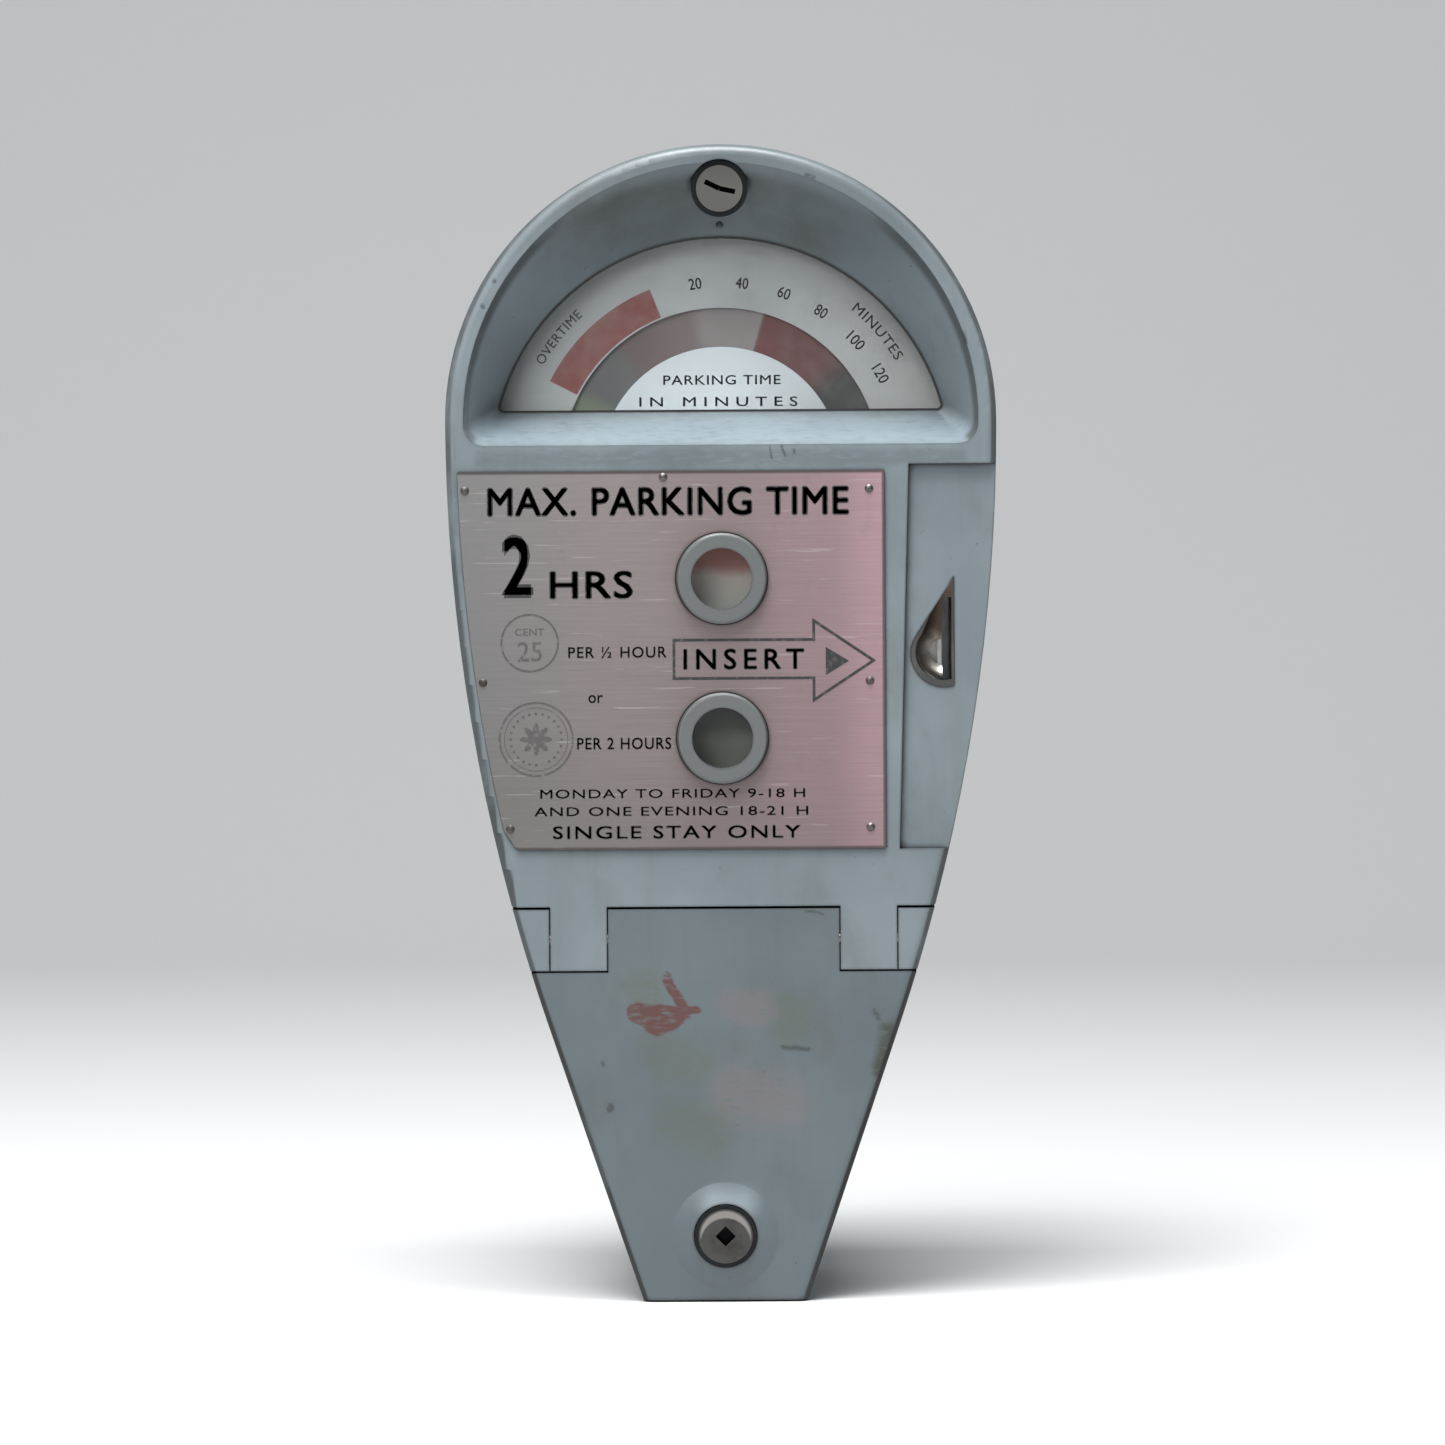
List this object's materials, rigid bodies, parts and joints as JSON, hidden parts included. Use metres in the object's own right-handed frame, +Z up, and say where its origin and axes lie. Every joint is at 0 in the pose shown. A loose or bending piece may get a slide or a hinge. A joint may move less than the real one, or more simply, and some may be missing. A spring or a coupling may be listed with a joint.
{
  "type": "parking meter head",
  "caption": "Clockwork coin parking meter head for a street post: teardrop casing, hooded dial window, coin windows, instruction plate, coin entry, two locks and a vault door.",
  "frame": {"origin": "centre of the post socket's mouth, in the plane of the foot", "axes": "+Z up along the post, -Y towards the person who pays, +X to that person's right"},
  "size_m": [0.181, 0.13, 0.3805],
  "materials": {
    "casting_paint": "weathered pale grey-blue enamel on a die casting",
    "black_rubber": "black rubber",
    "window_glass": "clear flat glass",
    "lens_glass": "clear round lenses",
    "plated_steel": "zinc-plated steel",
    "dark_steel": "darkened steel",
    "lock_face": "worn bright steel",
    "brass": "clock brass",
    "dial_enamel": "light grey enamelled dial with printed scale",
    "red_enamel": "dull red enamel",
    "time_disc_enamel": "red, black and grey enamelled disc",
    "coin_box_steel": "grey painted sheet steel",
    "plate_metal": "brushed aluminium, its print faded to pink at the right",
    "chrome": "polished, worn",
    "coin_wheel_metal": "dull machined aluminium"
  },
  "bodies": {
    "housing": {"rear_housing": "casting_paint", "socket_foot": "casting_paint", "foot_screws": "plated_steel", "rear_window_gasket": "black_rubber", "rear_window_glass": "window_glass", "rear_window_retainer": "plated_steel", "rear_window_screws": "plated_steel", "hinge_pin": "plated_steel", "post_set_screws": "dark_steel", "front_plate": "brass", "rear_plate": "brass", "plate_pillars": "brass", "pillar_screws": "plated_steel", "movement_screws": "plated_steel", "dial_plate": "dial_enamel", "dial_feet": "brass", "coin_back_plate": "red_enamel", "coin_plate_posts": "brass", "coin_inlet_chute": "plated_steel", "coin_drop_chute": "plated_steel", "vault_shelf": "plated_steel", "shelf_screws": "plated_steel", "coin_box": "coin_box_steel", "coin_box_pull": "plated_steel", "upper_strike": "plated_steel", "lower_strike": "plated_steel", "strike_screws": "plated_steel", "winding_click": "dark_steel"},
    "cover": {"front_cover": "casting_paint", "window_gasket": "black_rubber", "window_glass": "window_glass", "window_retainer": "plated_steel", "window_screws": "plated_steel", "coin_window_lenses": "lens_glass", "coin_window_clamp": "plated_steel", "clamp_screws": "plated_steel", "instruction_plate": "plate_metal", "plate_rivets": "plated_steel", "coin_entry_insert": "chrome", "coin_entry_screws": "plated_steel", "upper_lock_body": "dark_steel", "upper_lock_nut": "plated_steel"},
    "upper_lock": {"upper_lock_plug": "lock_face", "upper_lock_cam": "dark_steel"},
    "door": {"vault_door": "casting_paint", "lower_lock_body": "dark_steel", "lower_lock_nut": "plated_steel"},
    "lower_lock": {"lower_lock_plug": "dark_steel", "lower_lock_cam": "dark_steel"},
    "coin_carrier": {"coin_wheel": "coin_wheel_metal", "coin_wheel_arbor": "dark_steel"},
    "time_arbor": {"time_disc": "time_disc_enamel", "time_wheel": "brass"},
    "barrel": {"spring_barrel": "brass"},
    "second_arbor": {"second_wheel": "brass"},
    "escape_arbor": {"escape_wheel": "brass"},
    "pallet": {"pallet_lever": "dark_steel"},
    "balance": {"balance_wheel": "brass"}
  },
  "joints": [
    {"name": "cover_hinge", "type": "hinge", "parent": "housing", "child": "cover", "pos_m": [0, -0.06, 0.1195], "axis": [1, 0, 0], "range_deg": [0, 80]},
    {"name": "vault_door_hinge", "type": "hinge", "parent": "housing", "child": "door", "pos_m": [0, -0.06, 0.1195], "axis": [-1, 0, 0], "range_deg": [0, 55]},
    {"name": "upper_lock_turn", "type": "hinge", "parent": "cover", "child": "upper_lock", "pos_m": [0, -0.061, 0.366], "axis": [0, -1, 0], "range_deg": [0, 90]},
    {"name": "lower_lock_turn", "type": "hinge", "parent": "door", "child": "lower_lock", "pos_m": [0, -0.067, 0.022], "axis": [0, 1, 0], "range_deg": [0, 90]},
    {"name": "coin_wheel_turn", "type": "hinge", "parent": "housing", "child": "coin_carrier", "pos_m": [0, -0.0476, 0.212], "axis": [0, 1, 0], "continuous": true},
    {"name": "time_disc_turn", "type": "hinge", "parent": "housing", "child": "time_arbor", "pos_m": [0, -0.009, 0.2746], "axis": [0, 1, 0], "range_deg": [-37.3, 44]},
    {"name": "barrel_turn", "type": "hinge", "parent": "housing", "child": "barrel", "pos_m": [-0.03106, -0.009, 0.23024], "axis": [0, 1, 0], "range_deg": [-60, 50]},
    {"name": "second_wheel_turn", "type": "hinge", "parent": "housing", "child": "second_arbor", "pos_m": [0.02769, -0.009, 0.25136], "axis": [0, 1, 0], "range_deg": [-225, 190]},
    {"name": "escape_wheel_turn", "type": "hinge", "parent": "housing", "child": "escape_arbor", "pos_m": [0.03023, 0.007, 0.22232], "axis": [0, 1, 0], "range_deg": [-900, 1060]},
    {"name": "pallet_rock", "type": "hinge", "parent": "housing", "child": "pallet", "pos_m": [0.03023, 0.007, 0.19732], "axis": [0, 1, 0], "range_deg": [-4, 4]},
    {"name": "balance_swing", "type": "hinge", "parent": "housing", "child": "balance", "pos_m": [0.03023, 0.0107, 0.17232], "axis": [0, 1, 0], "range_deg": [-135, 135]}
  ],
  "couplings": [
    {"joint": "barrel_turn", "follows": "time_disc_turn", "ratio": -1.25},
    {"joint": "second_wheel_turn", "follows": "time_disc_turn", "ratio": -5},
    {"joint": "escape_wheel_turn", "follows": "time_disc_turn", "ratio": 24}
  ]
}
